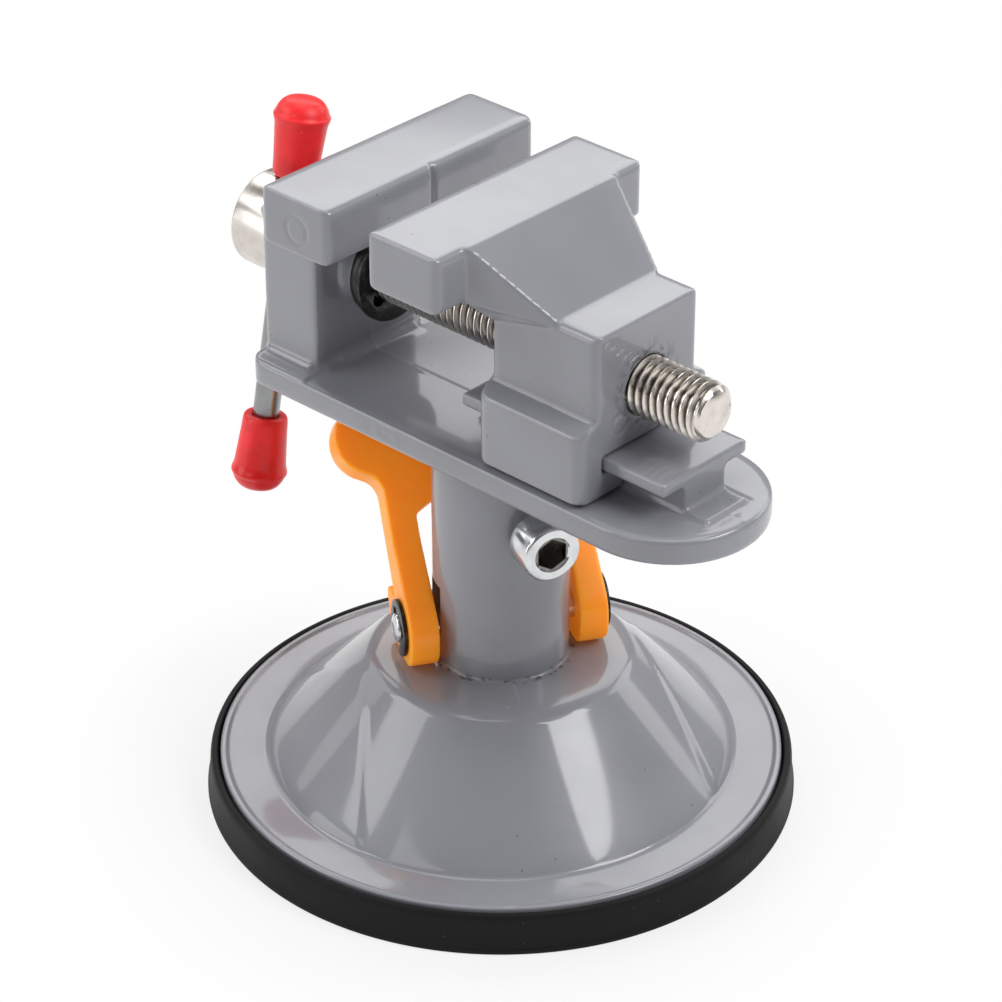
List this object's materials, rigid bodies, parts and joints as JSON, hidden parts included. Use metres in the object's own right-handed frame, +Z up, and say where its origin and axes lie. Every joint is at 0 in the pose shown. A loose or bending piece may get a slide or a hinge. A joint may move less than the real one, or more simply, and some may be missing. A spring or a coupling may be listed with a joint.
{
  "type": "suction base vise",
  "caption": "Small bench vise with a swivelling screw-driven jaw head on a post, and a lever that locks its rubber suction base to a smooth bench.",
  "frame": {"origin": "on the post's axis, on the rubber cup's underside, which rests on the bench", "axes": "+X along the lead screw towards its free end, +Y along the jaws, +Z up the post"},
  "size_m": [0.1074, 0.1016, 0.1125],
  "materials": {
    "grey_casting": "gloss",
    "black_rubber": "matte",
    "orange_plastic": "gloss",
    "red_vinyl": "satin",
    "nickel_steel": "satin",
    "zinc_steel": "satin",
    "black_steel": "satin",
    "pressed_steel": "satin"
  },
  "bodies": {
    "base": {"base_housing": "grey_casting", "suction_cup": "black_rubber"},
    "plunger": {"cup_plate": "pressed_steel", "pull_stud": "pressed_steel", "lever_pin": "zinc_steel", "pin_clip_near": "black_steel", "pin_clip_far": "black_steel"},
    "lever": {"lever": "orange_plastic"},
    "clamp": {"clamp_screw": "zinc_steel"},
    "head": {"vise_body": "grey_casting"},
    "jaw": {"movable_jaw": "grey_casting"},
    "screw": {"lead_screw": "nickel_steel", "screw_head": "nickel_steel", "screw_clip": "black_steel", "thrust_washer": "black_steel"},
    "bar": {"tommy_bar": "zinc_steel", "bar_cap_lower": "red_vinyl", "bar_cap_upper": "red_vinyl"}
  },
  "joints": [
    {"name": "stud_lift", "type": "slide", "parent": "base", "child": "plunger", "axis": [0, 0, 1], "range_m": [0, 0.004], "deforming": ["suction_cup"]},
    {"name": "lever_turn", "type": "hinge", "parent": "plunger", "child": "lever", "pos_m": [0, 0, 0.0333], "axis": [-0.5299, -0.848, 0], "range_deg": [0, 68]},
    {"name": "clamp_turn", "type": "hinge", "parent": "base", "child": "clamp", "pos_m": [0.01242, -0.00477, 0.0557], "axis": [0.9336, -0.3584, 0], "range_deg": [0, 360]},
    {"name": "head_swivel", "type": "hinge", "parent": "base", "child": "head", "pos_m": [0, 0, 0.068], "axis": [0, 0, 1], "continuous": true},
    {"name": "screw_spin", "type": "hinge", "parent": "head", "child": "screw", "pos_m": [0, 0, 0.0898], "axis": [1, 0, 0], "range_deg": [-5760, 1920]},
    {"name": "jaw_slide", "type": "slide", "parent": "head", "child": "jaw", "axis": [1, 0, 0], "range_m": [-0.008, 0.024]},
    {"name": "bar_slide", "type": "slide", "parent": "screw", "child": "bar", "axis": [0, 0.1994, 0.9799], "range_m": [0, 0.0256]}
  ],
  "couplings": [
    {"joint": "screw_spin", "follows": "jaw_slide", "rad_per_m": -4188.8},
    {"joint": "lever_turn", "follows": "stud_lift", "rad_per_m": 296.71}
  ]
}
